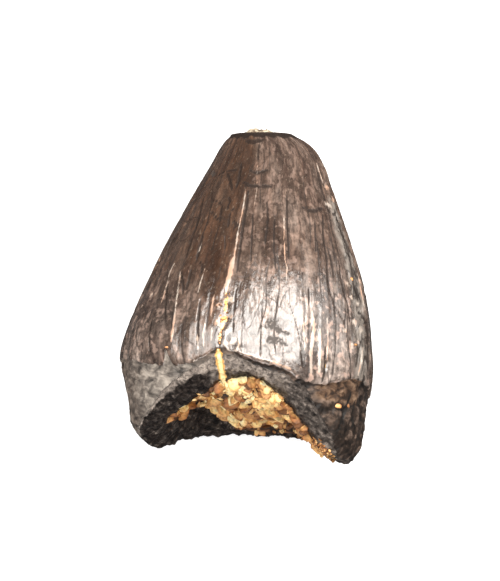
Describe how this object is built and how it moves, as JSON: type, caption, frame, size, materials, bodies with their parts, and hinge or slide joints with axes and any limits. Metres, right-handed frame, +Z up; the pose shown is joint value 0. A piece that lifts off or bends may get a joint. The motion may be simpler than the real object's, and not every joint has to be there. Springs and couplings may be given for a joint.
{
  "type": "champsosaurus tooth",
  "caption": "Fossil reptile tooth crown lying on its side, with a broken tip, an oblique broken base and a pulp cavity packed with golden sand.",
  "frame": {"origin": "on the surface that the tooth lies on, below the middle of its box", "axes": "+Y along the tooth towards its tip, +X to the right as seen from above with the tip away, +Z up"},
  "size_m": [0.0074, 0.0104, 0.0066],
  "materials": {
    "tooth": "glossy fossil enamel, grey-brown, over matt dark dentine",
    "sediment": "rough golden sand, partly cemented"
  },
  "bodies": {
    "root": {"tooth": "tooth", "sediment": "sediment"}
  },
  "joints": []
}
